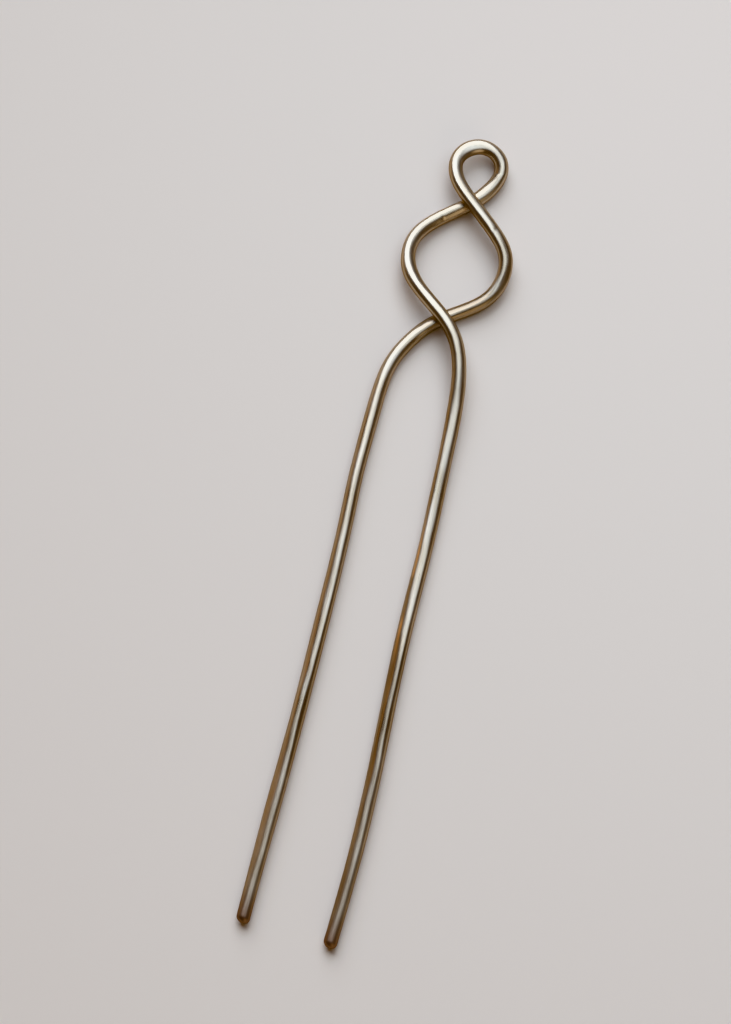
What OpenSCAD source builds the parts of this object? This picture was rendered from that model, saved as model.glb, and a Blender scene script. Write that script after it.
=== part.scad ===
// Two-prong hairpin, bent from one length of round brass wire.
// It lies flat: +Y runs from the prong tips to the head, +X is to its right and +Z is up.

/* [Pin] */
// Whole length, from the prong tips to the top of the small loop
pin_len = 120; // [100:1:150]
// Width over the outside of the large loop
head_w = 16.3; // [14:0.1:20]

/* [Wire] */
// Thickness of the round wire
wire_d = 2.05; // [1.6:0.05:2.4]
// Thickness of the filed prong tips
tip_d = 1.95; // [1.5:0.05:2.05]
// Air left between the strands where one rides over the other
cross_gap = 0.1; // [0.05:0.05:0.3]
// How much of a flat's extra width comes off the wire's height
flat_share = 0.6; // [0:0.1:1]

/* [Mesh] */
// Sides of the wire's section
sides = 20; // [12:4:24]
// Rings in each step of the head
head_rings = 6; // [4:1:8]
// Rings in each step of the prongs
prong_rings = 3; // [2:1:6]

/* [Hidden] */

// The bending plan is drawn for a pin of this length and width, in this wire
plan_len = 120;
plan_w = 16.3;
plan_wire = 2.05;
stretch = pin_len / plan_len;
widen = (head_w - wire_d) / (plan_w - plan_wire);

// A row for each section across the pin, with its columns: how far along the
// pin it lies, and where the left and the right strand pass through it
along = 0;
left = 1;
right = 2;
plan = [
    [-50, -6.25, 6.45],  // roots of the straight tips
    [-40, -6.1, 6.5],
    [-28, -5.95, 6.1],
    [-15, -6, 5.65],
    [-3, -6.15, 5.65],   // the right prong is down flat from here
    [6, -6.5, 5.45],
    [14, -6.45, 5.2],
    [20, -6.25, 4.85],
    [24.5, -5.4, 4.2],   // shoulders
    [28.5, -3.3, 2.7],
    [31.8, -0.3, -0.2],  // lower crossing
    [35, 4.2, -4.15],
    [38, 6.55, -6.5],
    [41, 7.1, -7.15],    // large loop at its widest
    [44, 6.15, -6.4],
    [47, 3.25, -3.9],
    [50, -0.2, -0.45],   // upper crossing
    [52.5, -2.6, 1.7],
    [55.3, -3.6, 3],     // small loop at its widest
    [57.8, -2.55, 2.35],
];
left_tip = [-6.3 * widen, -59.6 * stretch];
right_tip = [6.1 * widen, -pin_len / 2];

// Rows where the strands cross, and where the right prong comes down flat
landing_row = 4;
lower_row = 10;
upper_row = 16;

// Stations are counted along the wire from the left tip, over the top, to the right tip
rows = len(plan);
top_at = rows + 1;
last = 2 * rows + 2;
function left_at(row) = row + 1;
function right_at(row) = last - 1 - row;

// Hammered flats, with their columns: the station in the middle of the flat,
// how many stations it reaches to each side, and its share of extra width
middle = 0;
reach = 1;
spread = 2;
flats = [
    [left_at(0.6), 1.2, 0.06],
    [left_at(3), 1, 0.04],
    [left_at(6.2), 1, 0.04],
    [top_at - 0.7, 1.4, 0.14],
    [top_at + 3, 1, 0.08],
    [right_at(11.8), 1, 0.07],
    [right_at(6.8), 1.4, 0.07],
    [right_at(4.8), 1, 0.04],
    [right_at(3.3), 1.2, 0.04],
];

// How the wire rides, with its columns: a station and its level there, from
// 0 where the wire lies flat to 1 where it rides over the other strand
level = 1;
ride = [
    [left_at(lower_row), 0],
    [left_at(upper_row), 1],
    [right_at(upper_row), 0],
    [right_at(lower_row), 1],
    [right_at(landing_row), 0],
];

// The sweep starts and ends this far inside the tips, in stations, and is
// that much thinner there, so that it runs into them without a step
tuck = 0.15;
tuck_scale = 0.95;

function hump(u) = abs(u) < 1 ? pow(1 - u * u, 2) : 0;
function ease(u) = let (v = min(max(u, 0), 1)) v * v * (3 - 2 * v);
function extra(t) = sum([for (f = flats) f[spread] * hump((t - f[middle]) / f[reach])]);

// Diameter of the stock at a station: the tips are filed thinner over one step
function stock(t) = tip_d + (wire_d - tip_d) * ease(min(t, last - t) - 1);
function wide(t) = stock(t) * (1 + extra(t));
function thick(t) = stock(t) * (1 - flat_share * extra(t));

// Level of the wire at a station, eased from one mark of the ride to the next
function level_at(t) = sum([for (i = [1:len(ride) - 1])
    (ride[i][level] - ride[i - 1][level])
    * ease((t - ride[i - 1][0]) / (ride[i][0] - ride[i - 1][0]))]);
function sum(v) = v * [for (x = v) 1];

function across(row, side) = [plan[row][side] * widen, plan[row][along] * stretch];
top = [-0.1 * widen, pin_len / 2 - wide(top_at) / 2];
stations = concat(
    [left_tip],
    [for (row = [0:rows - 1]) across(row, left)],
    [top],
    [for (row = [rows - 1:-1:0]) across(row, right)],
    [right_tip]
);

// A uniform cubic spline through the stations. Its control points are found by
// moving each one, a few times over, by what the curve still misses there.
settle_times = 12;
settle_share = 1.5;
function with_ends(c) = concat(
    [2 * c[0] - c[1]],
    c,
    [2 * c[last] - c[last - 1], 3 * c[last] - 2 * c[last - 1]]
);
function settle(c, times) = times == 0 ? c : let (e = with_ends(c)) settle(
    [for (i = [0:last]) c[i] + settle_share * (stations[i] - (e[i] + 4 * e[i + 1] + e[i + 2]) / 6)],
    times - 1
);
control = with_ends(settle(stations, settle_times));

function route(t) = let (i = min(floor(t), last), f = t - i) (
    pow(1 - f, 3) * control[i]
    + (3 * pow(f, 3) - 6 * pow(f, 2) + 4) * control[i + 1]
    + (1 + 3 * f + 3 * pow(f, 2) - 3 * pow(f, 3)) * control[i + 2]
    + pow(f, 3) * control[i + 3]
) / 6;

// Middle of the wire at a station, in space
function centre(t) = let (p = route(t))
    [p[0], p[1], thick(t) / 2 + level_at(t) * (wire_d + cross_gap)];

function unit(v) = v / norm(v);
small_step = 0.01;
function heading(t) = unit(centre(t + small_step) - centre(t - small_step));

// One ring of the wire's section, square to its heading
function ring(t, size) = let (
    ahead = heading(t),
    beside = unit(cross(ahead, [0, 0, 1])),
    above = cross(beside, ahead)
) [for (k = [0:sides - 1]) let (a = 360 * k / sides)
    centre(t)
    + size * wide(t) / 2 * cos(a) * beside
    + size * thick(t) / 2 * sin(a) * above];

// Stations of the rings: close together in the head, further apart along the prongs
function rings_in(s) = s < left_at(5) || s >= right_at(5) ? prong_rings : head_rings;
steps = [for (s = [1:last - 2]) for (k = [s == 1 ? 1 : 0:rings_in(s) - 1]) s + k / rings_in(s)];
ring_stations = concat([1 - tuck, 1 + tuck], steps, [last - 1 - tuck, last - 1 + tuck]);
ring_count = len(ring_stations);

function ring_size(i) = i == 0 || i == ring_count - 1 ? tuck_scale : 1;

module swept_wire() {
    points = [for (i = [0:ring_count - 1]) each ring(ring_stations[i], ring_size(i))];
    walls = [for (i = [0:ring_count - 2]) for (k = [0:sides - 1]) let (
        a = i * sides + k,
        b = i * sides + (k + 1) % sides
    ) each [[a, b, b + sides], [a, b + sides, a + sides]]];
    first_cap = [for (k = [sides - 1:-1:0]) k];
    last_cap = [for (k = [0:sides - 1]) (ring_count - 1) * sides + k];
    polyhedron(points = points, faces = concat([first_cap], walls, [last_cap]), convexity = 8);
}

// A straight round tip with a domed end, from its end point to its root
module tip(end, root) {
    span = root - end;
    r = tip_d / 2;
    translate([end[0], end[1], r])
        rotate([-90, 0, -atan2(span[0], span[1])])
            rotate_extrude($fn = 64) {
                translate([0, r]) square([r, norm(span) - r]);
                intersection() {
                    translate([0, r]) circle(r);
                    square(r);
                }
            }
}

module pin_wire() {
    color([0.72, 0.56, 0.36]) union() {
        swept_wire();
        tip(left_tip, stations[1]);
        tip(right_tip, stations[last - 1]);
    }
}

pin_wire();
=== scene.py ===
import bpy
import math
import numpy as np
from mathutils import Matrix, Vector


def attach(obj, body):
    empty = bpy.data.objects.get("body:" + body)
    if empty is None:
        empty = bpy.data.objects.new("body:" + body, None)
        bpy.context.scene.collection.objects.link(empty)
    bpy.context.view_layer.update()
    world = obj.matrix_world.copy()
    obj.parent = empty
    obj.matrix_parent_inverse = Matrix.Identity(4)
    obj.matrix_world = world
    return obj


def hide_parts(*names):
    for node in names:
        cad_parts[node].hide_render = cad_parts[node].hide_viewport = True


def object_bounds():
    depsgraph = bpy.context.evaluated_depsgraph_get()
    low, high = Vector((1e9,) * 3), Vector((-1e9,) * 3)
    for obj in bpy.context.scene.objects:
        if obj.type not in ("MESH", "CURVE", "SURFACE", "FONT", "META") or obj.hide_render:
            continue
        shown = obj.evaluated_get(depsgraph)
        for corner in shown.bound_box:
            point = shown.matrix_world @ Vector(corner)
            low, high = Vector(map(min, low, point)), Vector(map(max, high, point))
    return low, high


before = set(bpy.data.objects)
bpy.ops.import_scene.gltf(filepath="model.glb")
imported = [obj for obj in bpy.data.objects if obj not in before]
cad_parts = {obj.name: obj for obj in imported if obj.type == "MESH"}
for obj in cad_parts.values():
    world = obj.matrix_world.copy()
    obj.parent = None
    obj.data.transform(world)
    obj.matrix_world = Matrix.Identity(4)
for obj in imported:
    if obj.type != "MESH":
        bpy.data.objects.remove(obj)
cadLow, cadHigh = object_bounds()
mm = 0.001
print("frame loaded, box in mm:", [round(side / mm, 2) for side in cadHigh - cadLow])


def unitRows(rows):
    return rows / np.linalg.norm(rows, axis=1)[:, None]


def easeStep(share):
    share = np.clip(share, 0, 1)
    return share * share * (3 - 2 * share)


# Camera: high over the pin, a little to its right, as in the photograph
cameraPlace = {
    "azimuth": 13.93,      # degrees round from straight behind the tips
    "elevation": 75.0,     # degrees above the floor
    "lens": 100.0,         # mm, on a 36 mm sensor
    "distance": 3.3804,    # pin lengths from the point it looks at
    "aimX": -0.03284,      # pin lengths from the middle of the pin
    "aimY": 0.01211,
    "near": 0.01,          # metres
    "far": 10.0,
}


def directionTo(azimuth, elevation):
    turn = math.radians(azimuth)
    lift = math.radians(elevation)
    return Vector((
        math.sin(turn) * math.cos(lift),
        -math.cos(turn) * math.cos(lift),
        math.sin(lift),
    ))


def makeCamera(place, pinLength):
    lensData = bpy.data.cameras.new("pinCamera")
    lensData.lens = place["lens"]
    lensData.clip_start = place["near"]
    lensData.clip_end = place["far"]
    camera = bpy.data.objects.new("pinCamera", lensData)
    bpy.context.scene.collection.objects.link(camera)
    back = directionTo(place["azimuth"], place["elevation"])
    aim = Vector((place["aimX"], place["aimY"], 0)) * pinLength
    camera.location = aim + back * place["distance"] * pinLength
    camera.rotation_mode = "QUATERNION"
    camera.rotation_quaternion = (-back).to_track_quat("-Z", "Y")
    bpy.context.scene.camera = camera


pinLength = (cadHigh - cadLow).y
makeCamera(cameraPlace, pinLength)
print("camera set")

# Bending plan of the wire, in mm: a row for each section across the pin, with its
# place along the pin and where the left and the right strand pass through it
pinShape = {
    "length": 120,
    "wire": 2.05,          # thickness of the stock
    "tip": 1.95,           # thickness of the filed tips
    "crossGap": 0.1,       # air left where one strand rides over the other
    "flatShare": 0.6,      # how much of a flat's extra width comes off its height
    "plan": [
        (-50, -6.25, 6.45), (-40, -6.1, 6.5), (-28, -5.95, 6.1), (-15, -6, 5.65), (-3, -6.15, 5.65),
        (6, -6.5, 5.45), (14, -6.45, 5.2), (20, -6.25, 4.85), (24.5, -5.4, 4.2), (28.5, -3.3, 2.7),
        (31.8, -0.3, -0.2), (35, 4.2, -4.15), (38, 6.55, -6.5), (41, 7.1, -7.15), (44, 6.15, -6.4),
        (47, 3.25, -3.9), (50, -0.2, -0.45), (52.5, -2.6, 1.7), (55.3, -3.6, 3), (57.8, -2.55, 2.35),
    ],
    "leftTip": (-6.3, -59.6),
    "topX": -0.1,
    "rightTip": (6.1, -60),
    "landingRow": 4,       # the right prong is down flat from here
    "lowerRow": 10,
    "upperRow": 16,
}
rowCount = len(pinShape["plan"])
topStation = rowCount + 1
lastStation = 2 * rowCount + 2


def leftStation(row):
    return row + 1


def rightStation(row):
    return lastStation - 1 - row


# Hammered flats: station in the middle, stations to each side, share of extra width
hammerFlats = [
    (leftStation(0.6), 1.2, 0.06),
    (leftStation(3), 1, 0.04),
    (leftStation(6.2), 1, 0.04),
    (topStation - 0.7, 1.4, 0.14),
    (topStation + 3, 1, 0.08),
    (rightStation(11.8), 1, 0.07),
    (rightStation(6.8), 1.4, 0.07),
    (rightStation(4.8), 1, 0.04),
    (rightStation(3.3), 1.2, 0.04),
]
# Where the hammer caught the wire, judged by where its highlight lies: station, lean of
# the top in degrees towards the wire's right as it runs on from the left tip, and how
# much of the crown is flattened, or raised where it is below 0
crownMarks = [
    (0, 0, 0), (0.5, -11, 0), (1.1, -22, -0.02), (1.5, -17, -0.04), (2, -22, -0.04),
    (2.4, -13, -0.04), (2.8, 1, -0.06), (3.1, 0, -0.06), (3.4, -11, -0.07), (3.7, -11, -0.03),
    (4.2, -10, 0.01), (4.9, -1, 0), (5.8, 1, -0.03), (6.4, -3, -0.02), (7, 3, -0.04),
    (7.6, 6, -0.06), (9, 5, -0.01), (9.9, 2, 0), (10.4, -13, -0.04), (10.9, -9, 0),
    (12.2, -4, -0.05), (13.5, 20, 0.02), (15, 17, 0.07), (15.65, 11, 0.08), (15.73, 19, 0.08),
    (15.82, 11, 0.07), (16, 9, 0.07), (16.8, 12, 0.08), (17.8, 12, 0.08), (18.6, 9, 0.06),
    (19.6, 9, 0.04), (20.6, 3, 0.05), (21.6, -2, 0.03), (22, -4, 0.03), (22.88, 5, -0.04),
    (22.96, 11, -0.04), (23.06, 6, -0.05), (23.2, 6, -0.05), (25.7, -12, -0.02), (25.9, -11, -0.02),
    (25.98, -17, -0.02), (26.08, -11, -0.03), (26.7, -10, -0.05), (28.1, -10, 0), (29.7, -8, 0),
    (30.5, -7, 0.07), (31.2, -4, 0.08), (31.8, -7, 0.06), (32.4, -12, 0.03), (33.4, -14, 0.01),
    (34.4, -9, 0.08), (35.4, -13, 0.08), (35.7, -15, 0.07), (36.7, -12, 0.05), (37.2, -3, 0.07),
    (37.9, 7, 0), (38.3, 17, -0.08), (38.55, 17, -0.09), (38.9, 5, -0.07), (39.15, 2, -0.04),
    (39.5, 16, -0.05), (40, 3, -0.01), (40.5, 9, 0), (41, 14, -0.04), (41.4, 14, -0.03),
    (42, 0, 0),
]
# Where the wire is darkened, partly real stain and partly painted shade for light falling off down the
# prongs and for shade next to the lower crossing: station and share
stainAndShadeMarks = [
    (0, 0.5), (0.8, 0.3), (1.2, 0), (1.7, 0), (2.4, 0.3), (4, 0.2),
    (6.4, 0.25), (7.6, 0), (9.6, 0), (10.2, 0.25), (10.5, 0.7), (12.5, 0.8),
    (13.2, 0), (37.2, 0), (37.5, 0.3), (37.8, 0.05), (38.4, 0.8), (38.8, 0.5),
    (39.9, 0.35), (40.4, 0.15), (41, 0.7), (42, 0.5),
]
# Where a painted glint, a warm reflection painted as amber colour, shows on the wire's right flank:
# station and share
paintedGlintMarks = [
    (0, 0), (36.4, 0), (36.7, 0.3), (37, 0.9), (37.28, 0.7), (37.36, 0),
    (37.75, 0), (37.93, 1), (38.1, 0.5), (38.4, 0), (42, 0),
]
# How the wire rides over itself: station and level, 0 flat and 1 over the other strand
rideMarks = [
    (leftStation(pinShape["lowerRow"]), 0),
    (leftStation(pinShape["upperRow"]), 1),
    (rightStation(pinShape["upperRow"]), 0),
    (rightStation(pinShape["lowerRow"]), 1),
    (rightStation(pinShape["landingRow"]), 0),
]


def extraWidth(station):
    total = np.zeros_like(station)
    for middle, reach, spread in hammerFlats:
        offset = np.minimum(np.abs(station - middle) / reach, 1)
        total += spread * (1 - offset ** 2) ** 2
    return total


def stockWidth(station):
    thinner = pinShape["wire"] - pinShape["tip"]
    return pinShape["tip"] + thinner * easeStep(np.minimum(station, lastStation - station) - 1)


def wireWide(station):
    return stockWidth(station) * (1 + extraWidth(station))


def wireThick(station):
    return stockWidth(station) * (1 - pinShape["flatShare"] * extraWidth(station))


def rideLevel(station):
    total = np.zeros_like(station)
    for (fromAt, fromLevel), (toAt, toLevel) in zip(rideMarks, rideMarks[1:]):
        total += (toLevel - fromLevel) * easeStep((station - fromAt) / (toAt - fromAt))
    return total


def easedMarks(marks, station):
    at, *columns = np.array(marks).T
    place = np.clip(np.searchsorted(at, station, side="right") - 1, 0, len(at) - 2)
    share = easeStep((station - at[place]) / (at[place + 1] - at[place]))
    return [column[place] + (column[place + 1] - column[place]) * share for column in columns]


# Control points of a uniform cubic spline that passes through the plan
def splineControls():
    plan = pinShape["plan"]
    topWide = float(wireWide(np.array([float(topStation)]))[0])
    points = [pinShape["leftTip"]]
    points += [(leftX, along) for along, leftX, rightX in plan]
    points += [(pinShape["topX"], pinShape["length"] / 2 - topWide / 2)]
    points += [(rightX, along) for along, leftX, rightX in reversed(plan)]
    points += [pinShape["rightTip"]]
    count = len(points)
    system = np.eye(count)
    for i in range(1, count - 1):
        system[i, i - 1:i + 2] = (1 / 6, 4 / 6, 1 / 6)
    inner = np.linalg.solve(system, np.array(points, float))
    before = 2 * inner[0] - inner[1]
    after = 2 * inner[-1] - inner[-2]
    beyond = 3 * inner[-1] - 2 * inner[-2]
    return np.vstack([before, inner, after, beyond])


def wireCentre(station, controls):
    span = np.minimum(np.floor(station).astype(int), lastStation)
    part = (station - span)[:, None]
    flat = (
        (1 - part) ** 3 * controls[span]
        + (3 * part ** 3 - 6 * part ** 2 + 4) * controls[span + 1]
        + (1 + 3 * part + 3 * part ** 2 - 3 * part ** 3) * controls[span + 2]
        + part ** 3 * controls[span + 3]
    ) / 6
    rise = rideLevel(station) * (pinShape["wire"] + pinShape["crossGap"])
    return np.column_stack([flat, wireThick(station) / 2 + rise])


# Wire: one swept skin with domed tips
wireSkin = {
    "sides": 48,
    "ringStep": 0.19,      # mm along the wire
    "domeRings": 12,
    "measureSteps": 8400,  # along the whole wire, to find its length
    "headingStep": 0.01,   # stations to each side
    "bluntness": 2.3,      # 2 makes a round tip, more a blunter one
    "slant": (-0.3, 0.2),  # mm that one side of the left and the right end is filed back
    "slantReach": 3.0,     # mm
    "shoulderPower": 2.0,  # the higher, the narrower a leaning crown
    "crownPower": 8.0,     # the higher, the narrower a flattened crown
    "dentDepth": 0.010,    # mm, always inwards
    "dentAcross": 1.1,     # mm
    "dentLength": 4.0,     # mm
    "dentDetail": 1.0,
    "seed": 7,
    "weldGap": 0.0001,     # mm
}


# Rings of the skin, close together in the domes: their stations, their mm along the
# wire, and the length of the whole wire
def ringPlaces(controls):
    fine = np.linspace(0, lastStation, wireSkin["measureSteps"] + 1)
    fineSteps = np.linalg.norm(np.diff(wireCentre(fine, controls), axis=0), axis=1)
    travelled = np.concatenate([[0], np.cumsum(fineSteps)])
    whole = travelled[-1]
    tipRadius = pinShape["tip"] / 2
    domeTurn = np.linspace(0, math.pi / 2, wireSkin["domeRings"] + 1)
    domeAt = tipRadius * (1 - np.cos(domeTurn))
    bodyCount = int((whole - 2 * tipRadius) / wireSkin["ringStep"])
    bodyAt = np.linspace(tipRadius, whole - tipRadius, bodyCount + 1)[1:-1]
    ringAt = np.concatenate([domeAt, bodyAt, (whole - domeAt)[::-1]])
    return np.interp(ringAt, travelled, fine), ringAt, whole


def makeGuideLine():
    controls = splineControls()
    station, ringAt, whole = ringPlaces(controls)
    centre = wireCentre(station, controls)
    ahead = unitRows(
        wireCentre(np.minimum(station + wireSkin["headingStep"], lastStation), controls)
        - wireCentre(np.maximum(station - wireSkin["headingStep"], 0), controls)
    )
    beside = unitRows(np.cross(ahead, (0, 0, 1)))
    above = np.cross(beside, ahead)

    # domed tips, filed at a slant
    fromEnd = np.minimum(ringAt, whole - ringAt)
    inDome = np.clip(1 - fromEnd / (pinShape["tip"] / 2), 0, 1)
    roundOff = np.maximum(1 - inDome ** wireSkin["bluntness"], 0) ** (1 / wireSkin["bluntness"])
    filed = np.where(ringAt < whole / 2, wireSkin["slant"][0], wireSkin["slant"][1])
    slant = filed * (1 - easeStep(fromEnd / wireSkin["slantReach"]))
    towardsMiddle = ahead * np.where(ringAt < whole / 2, 1, -1)[:, None]

    mesh = bpy.data.meshes.new("wireGuide")
    count = len(station)
    mesh.from_pydata((centre * mm).tolist(), [(i, i + 1) for i in range(count - 1)], [])
    vectors = {
        "centre": (centre + towardsMiddle * np.abs(slant)[:, None] / 2) * mm,
        "beside": beside,
        "above": above,
        "filed": towardsMiddle * (slant / wireWide(station))[:, None],
    }
    for name, values in vectors.items():
        mesh.attributes.new(name, "FLOAT_VECTOR", "POINT").data.foreach_set("vector", values.ravel())
    lean, flat = easedMarks(crownMarks, station)
    numbers = {
        "halfWide": wireWide(station) * roundOff / 2 * mm,
        "halfThick": wireThick(station) * roundOff / 2 * mm,
        "lean": np.radians(lean) * roundOff,
        "flat": flat * roundOff,
        "dentShare": roundOff,
        "travelled": ringAt * mm,
        "fromEnd": fromEnd * mm,
        "stainAndShade": easedMarks(stainAndShadeMarks, station)[0],
        "paintedGlint": easedMarks(paintedGlintMarks, station)[0],
    }
    for name, values in numbers.items():
        mesh.attributes.new(name, "FLOAT", "POINT").data.foreach_set("value", values)
    guide = bpy.data.objects.new("wireGuide", mesh)
    bpy.context.scene.collection.objects.link(guide)
    return guide


def addNode(tree, kind, **settings):
    node = tree.nodes.new(kind)
    for name, value in settings.items():
        setattr(node, name, value)
    return node


def setInputs(node, **values):
    for name, value in values.items():
        node.inputs[name].default_value = value


def plainMath(tree, operation, first, second=None):
    node = addNode(tree, "ShaderNodeMath", operation=operation)
    for socket, value in zip(node.inputs, (first, second)):
        if value is None:
            continue
        if isinstance(value, (int, float)):
            socket.default_value = value
        else:
            tree.links.new(value, socket)
    return node.outputs[0]


def vectorMath(tree, operation, first, second):
    node = addNode(tree, "ShaderNodeVectorMath", operation=operation)
    tree.links.new(first, node.inputs[0])
    tree.links.new(second, node.inputs["Scale"] if operation == "SCALE" else node.inputs[1])
    return node.outputs[0]


def namedAttribute(tree, name, kind="FLOAT"):
    node = addNode(tree, "GeometryNodeInputNamedAttribute", data_type=kind)
    node.inputs["Name"].default_value = name
    return node.outputs["Attribute"]


def storeAttribute(tree, geometry, name, value, kind="FLOAT"):
    node = addNode(tree, "GeometryNodeStoreNamedAttribute", data_type=kind, domain="POINT")
    node.inputs["Name"].default_value = name
    tree.links.new(geometry, node.inputs["Geometry"])
    tree.links.new(value, node.inputs["Value"])
    return node.outputs["Geometry"]


# A plain tube along the guide line, which keeps the angle round the wire as "turn"
def sweepTube(tree, given):
    line = addNode(tree, "GeometryNodeMeshToCurve")
    tree.links.new(given["Geometry"], line.inputs["Mesh"])
    circle = addNode(tree, "GeometryNodeCurvePrimitiveCircle", mode="RADIUS")
    circle.inputs["Radius"].default_value = mm
    tree.links.new(given["Sides"], circle.inputs["Resolution"])
    place = addNode(tree, "GeometryNodeSplineParameter")
    turn = plainMath(tree, "MULTIPLY", place.outputs["Factor"], 2 * math.pi)
    section = storeAttribute(tree, circle.outputs["Curve"], "turn", turn)
    sweep = addNode(tree, "GeometryNodeCurveToMesh")
    tree.links.new(line.outputs["Curve"], sweep.inputs["Curve"])
    tree.links.new(section, sweep.inputs["Profile Curve"])
    return sweep.outputs["Mesh"]


# The hammer leans the crown over to one side, and flattens it
def crownSize(tree, sideways, upwards):
    topHalf = plainMath(tree, "MAXIMUM", upwards, 0.0)
    shoulders = plainMath(tree, "POWER", topHalf, wireSkin["shoulderPower"])
    shoulders = plainMath(tree, "MULTIPLY", shoulders, sideways)
    leaning = plainMath(tree, "MULTIPLY", shoulders, namedAttribute(tree, "lean"))
    crown = plainMath(tree, "POWER", topHalf, wireSkin["crownPower"])
    flattened = plainMath(tree, "MULTIPLY", crown, namedAttribute(tree, "flat"))
    return plainMath(tree, "SUBTRACT", plainMath(tree, "SUBTRACT", 1.0, leaning), flattened)


# How deep the shallow dents are
def dentDepth(tree, given, straight):
    scale = addNode(tree, "ShaderNodeCombineXYZ")
    for socketName, inputName in (("X", "Dent Across"), ("Y", "Dent Across"), ("Z", "Dent Length")):
        tree.links.new(plainMath(tree, "DIVIDE", 1.0, given[inputName]), scale.inputs[socketName])
    noise = addNode(tree, "ShaderNodeTexNoise", noise_dimensions="4D")
    setInputs(noise, Scale=1.0, Detail=wireSkin["dentDetail"])
    tree.links.new(vectorMath(tree, "MULTIPLY", straight, scale.outputs["Vector"]), noise.inputs["Vector"])
    tree.links.new(given["Seed"], noise.inputs["W"])
    share = plainMath(tree, "MULTIPLY", noise.outputs["Fac"], namedAttribute(tree, "dentShare"))
    return plainMath(tree, "MULTIPLY", share, given["Dent Depth"])


# Poles closed, faces turned outwards and smooth, and the metal on
def finishSkin(tree, given, geometry):
    poles = addNode(tree, "GeometryNodeMergeByDistance")
    poles.inputs["Distance"].default_value = wireSkin["weldGap"] * mm
    tree.links.new(geometry, poles.inputs["Geometry"])
    facing = addNode(tree, "GeometryNodeFlipFaces")   # the sweep leaves them pointing inwards
    tree.links.new(poles.outputs["Geometry"], facing.inputs["Mesh"])
    smooth = addNode(tree, "GeometryNodeSetShadeSmooth")
    tree.links.new(facing.outputs["Mesh"], smooth.inputs["Geometry"])
    real = addNode(tree, "GeometryNodeRealizeInstances")
    tree.links.new(smooth.outputs["Geometry"], real.inputs["Geometry"])
    coat = addNode(tree, "GeometryNodeSetMaterial")
    tree.links.new(real.outputs["Geometry"], coat.inputs["Geometry"])
    tree.links.new(given["Metal"], coat.inputs["Material"])
    return coat.outputs["Geometry"]


sweepInputs = {
    "Geometry": "NodeSocketGeometry",
    "Sides": "NodeSocketInt",
    "Dent Depth": "NodeSocketFloat",
    "Dent Across": "NodeSocketFloat",
    "Dent Length": "NodeSocketFloat",
    "Seed": "NodeSocketFloat",
    "Metal": "NodeSocketMaterial",
}


def sweepTree():
    tree = bpy.data.node_groups.new("sweptWire", "GeometryNodeTree")
    for name, kind in sweepInputs.items():
        tree.interface.new_socket(name, in_out="INPUT", socket_type=kind)
    tree.interface.new_socket("Geometry", in_out="OUTPUT", socket_type="NodeSocketGeometry")
    given = addNode(tree, "NodeGroupInput").outputs
    result = addNode(tree, "NodeGroupOutput")
    tube = sweepTube(tree, given)
    turn = namedAttribute(tree, "turn")
    sideways = plainMath(tree, "COSINE", turn)
    upwards = plainMath(tree, "SINE", turn)
    halfWide = namedAttribute(tree, "halfWide")
    halfThick = namedAttribute(tree, "halfThick")
    toTheRight = plainMath(tree, "MULTIPLY", sideways, halfWide)
    aboveMiddle = plainMath(tree, "MULTIPLY", upwards, halfThick)
    straight = addNode(tree, "ShaderNodeCombineXYZ")   # the skin as if the wire were unbent
    tree.links.new(toTheRight, straight.inputs["X"])
    tree.links.new(aboveMiddle, straight.inputs["Y"])
    tree.links.new(namedAttribute(tree, "travelled"), straight.inputs["Z"])

    # each point of the tube goes to its place on the wire's section
    outBeside = vectorMath(tree, "SCALE", namedAttribute(tree, "beside", "FLOAT_VECTOR"), sideways)
    outAbove = vectorMath(tree, "SCALE", namedAttribute(tree, "above", "FLOAT_VECTOR"), upwards)
    size = crownSize(tree, sideways, upwards)
    across = vectorMath(tree, "SCALE", outBeside, plainMath(tree, "MULTIPLY", halfWide, size))
    upright = vectorMath(tree, "SCALE", outAbove, plainMath(tree, "MULTIPLY", halfThick, size))
    filedBack = vectorMath(tree, "SCALE", namedAttribute(tree, "filed", "FLOAT_VECTOR"), toTheRight)
    section = vectorMath(tree, "ADD", vectorMath(tree, "ADD", across, upright), filedBack)
    skin = vectorMath(tree, "ADD", namedAttribute(tree, "centre", "FLOAT_VECTOR"), section)
    dent = dentDepth(tree, given, straight.outputs["Vector"])
    inward = vectorMath(tree, "SCALE", vectorMath(tree, "ADD", outBeside, outAbove), dent)
    shape = addNode(tree, "GeometryNodeSetPosition")
    tree.links.new(tube, shape.inputs["Geometry"])
    tree.links.new(vectorMath(tree, "SUBTRACT", skin, inward), shape.inputs["Position"])

    shaped = storeAttribute(
        tree, shape.outputs["Geometry"], "unbent", straight.outputs["Vector"], "FLOAT_VECTOR"
    )
    tree.links.new(finishSkin(tree, given, shaped), result.inputs["Geometry"])
    return tree


def setModifierInput(modifier, name, value):
    for item in modifier.node_group.interface.items_tree:
        if item.item_type == "SOCKET" and item.in_out == "INPUT" and item.name == name:
            modifier[item.identifier] = value


# What the sweep reads and the metal doesn't
sweepOnly = (
    "centre", "beside", "above", "filed", "halfWide", "halfThick",
    "lean", "flat", "dentShare", "travelled", "turn",
)


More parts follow.
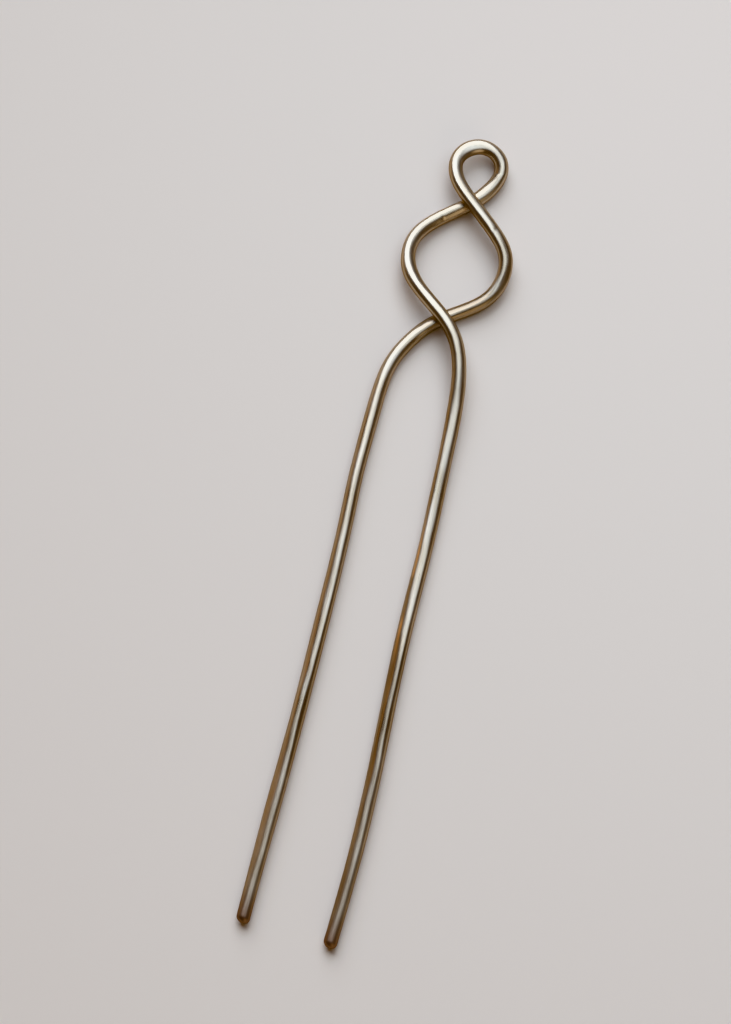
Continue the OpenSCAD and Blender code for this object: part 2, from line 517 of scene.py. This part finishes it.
def makeWire(metal):
    guide = makeGuideLine()
    modifier = guide.modifiers.new("sweep", "NODES")
    modifier.node_group = sweepTree()
    setModifierInput(modifier, "Sides", wireSkin["sides"])
    setModifierInput(modifier, "Dent Depth", wireSkin["dentDepth"] * mm)
    setModifierInput(modifier, "Dent Across", wireSkin["dentAcross"] * mm)
    setModifierInput(modifier, "Dent Length", wireSkin["dentLength"] * mm)
    setModifierInput(modifier, "Seed", float(wireSkin["seed"]))
    setModifierInput(modifier, "Metal", metal)
    graph = bpy.context.evaluated_depsgraph_get()
    mesh = bpy.data.meshes.new_from_object(guide.evaluated_get(graph))
    bpy.data.objects.remove(guide)
    for name in sweepOnly:
        mesh.attributes.remove(mesh.attributes[name])
    mesh.name = "bentWire"
    wire = bpy.data.objects.new("bentWire", mesh)
    bpy.context.scene.collection.objects.link(wire)
    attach(wire, "root")
    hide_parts("pin_wire")
    return wire


# Brass: satin and pale on the crown, with worn blotches; the lower flanks darkened brown, partly as
# tarnish and partly as painted shade; darker brown towards the ends
brassLook = {
    "worn": (0.61, 0.525, 0.40, 1),
    "plain": (0.54, 0.445, 0.315, 1),
    # tarnish, and painted shade on the lower flanks
    "tarnishAndShade": (0.31, 0.19, 0.085, 1),
    # stain, and painted shade where the light falls off
    "stainAndShadeColour": (0.30, 0.225, 0.145, 1),
    "tipBrown": (0.24, 0.14, 0.09, 1),
    # painted glint: a warm reflection painted as colour
    "paintedGlint": (0.90, 0.60, 0.33, 1),
    "edge": (0.56, 0.37, 0.20, 1),
    # patterns: mm across and along the wire, and detail
    "blotches": (1.8, 6.0, 3.0),
    "streaks": (0.35, 9.0, 2.0),
    "lines": (0.10, 14.0, 2.0),
    # fades: where each starts and ends, and the value at either end
    "wear": (0.40, 0.62, 0.0, 1.0),               # over the blotches
    # lower flanks darker: partly tarnish, partly painted shade standing in for the dark reflections there
    "lowFlank": (0.90, 0.15, 0.0, 0.80),          # mm above the wire's middle
    "lowFlankMottle": (0.38, 0.60, 1.10, 0.65),   # over the streaks
    "patches": (0.45, 0.75, 0.0, 0.35),           # over the streaks
    "stainAndShadeMottle": (0.35, 0.65, 0.6, 1.3),        # over the streaks
    "paintedGlintSide": (0.50, 0.65, 0.0, 1.0),          # mm to the wire's right
    "paintedGlintHeight": (0.45, 0.65, 0.0, 1.0),        # mm above its middle
    "brownTip": (0.3, 5.0, 0.9, 0.0),             # mm from the end
    "roughness": (0.7, 1.3, 0.26, 0.36),          # over the lines and the blotches
    "dullTip": (0.3, 32.0, 0.15, 0.0),            # mm from the end, more roughness
    "bumpStrength": 0.15,
    "bumpDepth": 0.004,                           # mm
}


def wirePattern(tree, unbent, pattern):
    across, along, detail = pattern
    stretch = addNode(tree, "ShaderNodeMapping")
    stretch.inputs["Scale"].default_value = (1 / (across * mm), 1 / (across * mm), 1 / (along * mm))
    tree.links.new(unbent, stretch.inputs["Vector"])
    noise = addNode(tree, "ShaderNodeTexNoise")
    setInputs(noise, Scale=1.0, Detail=detail)
    tree.links.new(stretch.outputs["Vector"], noise.inputs["Vector"])
    return noise.outputs["Fac"]


def fadeOver(tree, value, fade, unit=1):
    start, end, startValue, endValue = fade
    node = addNode(tree, "ShaderNodeMapRange")
    tree.links.new(value, node.inputs["Value"])
    node.inputs["From Min"].default_value = start * unit
    node.inputs["From Max"].default_value = end * unit
    node.inputs["To Min"].default_value = startValue
    node.inputs["To Max"].default_value = endValue
    return node.outputs["Result"]


colourSockets = {"first": 6, "second": 7, "result": 2}   # of a Mix node, among its other kinds


def mixColours(tree, share, first, second):
    node = addNode(tree, "ShaderNodeMix", data_type="RGBA")
    tree.links.new(share, node.inputs["Factor"])
    for socketName, colour in (("first", first), ("second", second)):
        socket = node.inputs[colourSockets[socketName]]
        if isinstance(colour, tuple):
            socket.default_value = colour
        else:
            tree.links.new(colour, socket)
    return node.outputs[colourSockets["result"]]


def readAttribute(tree, name, output):
    return addNode(tree, "ShaderNodeAttribute", attribute_name=name).outputs[output]


def brassMaterial(look):
    material = bpy.data.materials.new("satinBrass")
    material.use_nodes = True
    tree = material.node_tree
    shader = tree.nodes["Principled BSDF"]
    shader.inputs["Metallic"].default_value = 1.0
    shader.inputs["Specular Tint"].default_value = look["edge"]
    unbent = readAttribute(tree, "unbent", "Vector")
    fromEnd = readAttribute(tree, "fromEnd", "Fac")
    parts = addNode(tree, "ShaderNodeSeparateXYZ")
    tree.links.new(unbent, parts.inputs["Vector"])
    toTheRight = parts.outputs["X"]
    aboveMiddle = parts.outputs["Y"]
    blotches = wirePattern(tree, unbent, look["blotches"])
    streaks = wirePattern(tree, unbent, look["streaks"])
    lines = wirePattern(tree, unbent, look["lines"])

    colour = mixColours(tree, fadeOver(tree, blotches, look["wear"]), look["plain"], look["worn"])
    # lower flanks and random patches go towards the tarnish colour; on the flanks this is partly painted
    # shade
    lowFlank = fadeOver(tree, aboveMiddle, look["lowFlank"], mm)
    lowFlank = plainMath(tree, "MULTIPLY", lowFlank, fadeOver(tree, streaks, look["lowFlankMottle"]))
    patches = fadeOver(tree, streaks, look["patches"])
    colour = mixColours(tree, plainMath(tree, "MAXIMUM", lowFlank, patches), colour, look["tarnishAndShade"])
    # stain marks: partly real stain, partly painted shade
    stainAndShade = readAttribute(tree, "stainAndShade", "Fac")
    stainAndShade = plainMath(tree, "MULTIPLY", stainAndShade, fadeOver(tree, streaks, look["stainAndShadeMottle"]))
    colour = mixColours(tree, stainAndShade, colour, look["stainAndShadeColour"])
    # painted glint on the right flank, above the rim
    paintedGlint = readAttribute(tree, "paintedGlint", "Fac")
    paintedGlint = plainMath(tree, "MULTIPLY", paintedGlint, fadeOver(tree, toTheRight, look["paintedGlintSide"], mm))
    paintedGlint = plainMath(tree, "MULTIPLY", paintedGlint, fadeOver(tree, aboveMiddle, look["paintedGlintHeight"], mm))
    colour = mixColours(tree, paintedGlint, colour, look["paintedGlint"])
    colour = mixColours(tree, fadeOver(tree, fromEnd, look["brownTip"], mm), colour, look["tipBrown"])
    tree.links.new(colour, shader.inputs["Base Color"])

    satin = fadeOver(tree, plainMath(tree, "ADD", lines, blotches), look["roughness"])
    dullTip = fadeOver(tree, fromEnd, look["dullTip"], mm)
    tree.links.new(plainMath(tree, "ADD", satin, dullTip), shader.inputs["Roughness"])
    bump = addNode(tree, "ShaderNodeBump")
    bump.inputs["Strength"].default_value = look["bumpStrength"]
    bump.inputs["Distance"].default_value = look["bumpDepth"] * mm
    tree.links.new(lines, bump.inputs["Height"])
    tree.links.new(bump.outputs["Normal"], shader.inputs["Normal"])
    return material


wire = makeWire(brassMaterial(brassLook))
print("wire swept:", len(wire.data.polygons), "faces")

# Floor: pale, matt, with no seam behind
floorLook = {
    "size": 3.0,           # metres
    "colour": (0.78, 0.675, 0.555, 1),
    "roughness": 0.9,
    "specular": 0.2,
}


def makeFloor(look, level):
    half = look["size"] / 2
    mesh = bpy.data.meshes.new("paleFloor")
    corners = [(-half, -half, level), (half, -half, level), (half, half, level), (-half, half, level)]
    mesh.from_pydata(corners, [], [(0, 1, 2, 3)])
    floor = bpy.data.objects.new("paleFloor", mesh)
    bpy.context.scene.collection.objects.link(floor)
    material = bpy.data.materials.new("palePaper")
    material.use_nodes = True
    shader = material.node_tree.nodes["Principled BSDF"]
    shader.inputs["Base Color"].default_value = look["colour"]
    shader.inputs["Roughness"].default_value = look["roughness"]
    shader.inputs["Specular IOR Level"].default_value = look["specular"]
    mesh.materials.append(material)


makeFloor(floorLook, cadLow.z)
print("floor laid")

# Light: broad and soft from behind the head, weaker from the front and the left, a dim
# panel over the prongs, and a dim warm room
broadLights = {
    "skyLight": {
        "from": (-100, 245, 225),      # direction: right, back and up
        "spread": 56.0,                # degrees across
        "strength": 2.6,               # watts a square metre
        "colour": (0.86, 1.00, 1.25),
    },
    "frontGlow": {
        "from": (330, -420, 250),
        "spread": 46.0,
        "strength": 0.40,
        "colour": (1.0, 0.88, 0.70),
    },
    "warmSide": {
        "from": (-520, 110, 100),
        "spread": 30.0,
        "strength": 0.09,
        "colour": (1.0, 0.62, 0.32),
    },
}
prongPanel = {
    "place": (45, 110, 228),           # mm from the middle of the pin
    "width": 270,                      # mm
    "height": 220,
    "roll": 12,                        # degrees
    "strength": 0.28,                  # watts
    "colour": (0.83, 1.03, 1.32),
}
roomLight = {"colour": (1.0, 0.62, 0.34, 1), "strength": 0.10}


def makeBroadLight(name, look):
    lamp = bpy.data.lights.new(name, "SUN")
    lamp.angle = math.radians(look["spread"])
    lamp.energy = look["strength"]
    lamp.color = look["colour"]
    light = bpy.data.objects.new(name, lamp)
    bpy.context.scene.collection.objects.link(light)
    light.rotation_mode = "QUATERNION"
    light.rotation_quaternion = (-Vector(look["from"])).to_track_quat("-Z", "Y")


def makePanel(name, look):
    lamp = bpy.data.lights.new(name, "AREA")
    lamp.shape = "RECTANGLE"
    lamp.size = look["width"] * mm
    lamp.size_y = look["height"] * mm
    lamp.energy = look["strength"]
    lamp.color = look["colour"]
    panel = bpy.data.objects.new(name, lamp)
    bpy.context.scene.collection.objects.link(panel)
    place = Vector(look["place"]) * mm
    facing = -place.normalized()
    level = facing.cross(Vector((0, 0, 1))).normalized()
    rise = facing.cross(level)
    roll = math.radians(look["roll"])
    side = math.cos(roll) * level + math.sin(roll) * rise
    turned = Matrix((side, side.cross(facing), -facing)).transposed()
    panel.matrix_world = Matrix.Translation(place) @ turned.to_4x4()


for lightName, lightLook in broadLights.items():
    makeBroadLight(lightName, lightLook)
makePanel("prongPanel", prongPanel)
world = bpy.data.worlds.new("dimRoom")
world.use_nodes = True
background = world.node_tree.nodes["Background"]
background.inputs["Color"].default_value = roomLight["colour"]
background.inputs["Strength"].default_value = roomLight["strength"]
bpy.context.scene.world = world
bpy.context.scene.view_settings.view_transform = "Khronos PBR Neutral"
print("lights set")
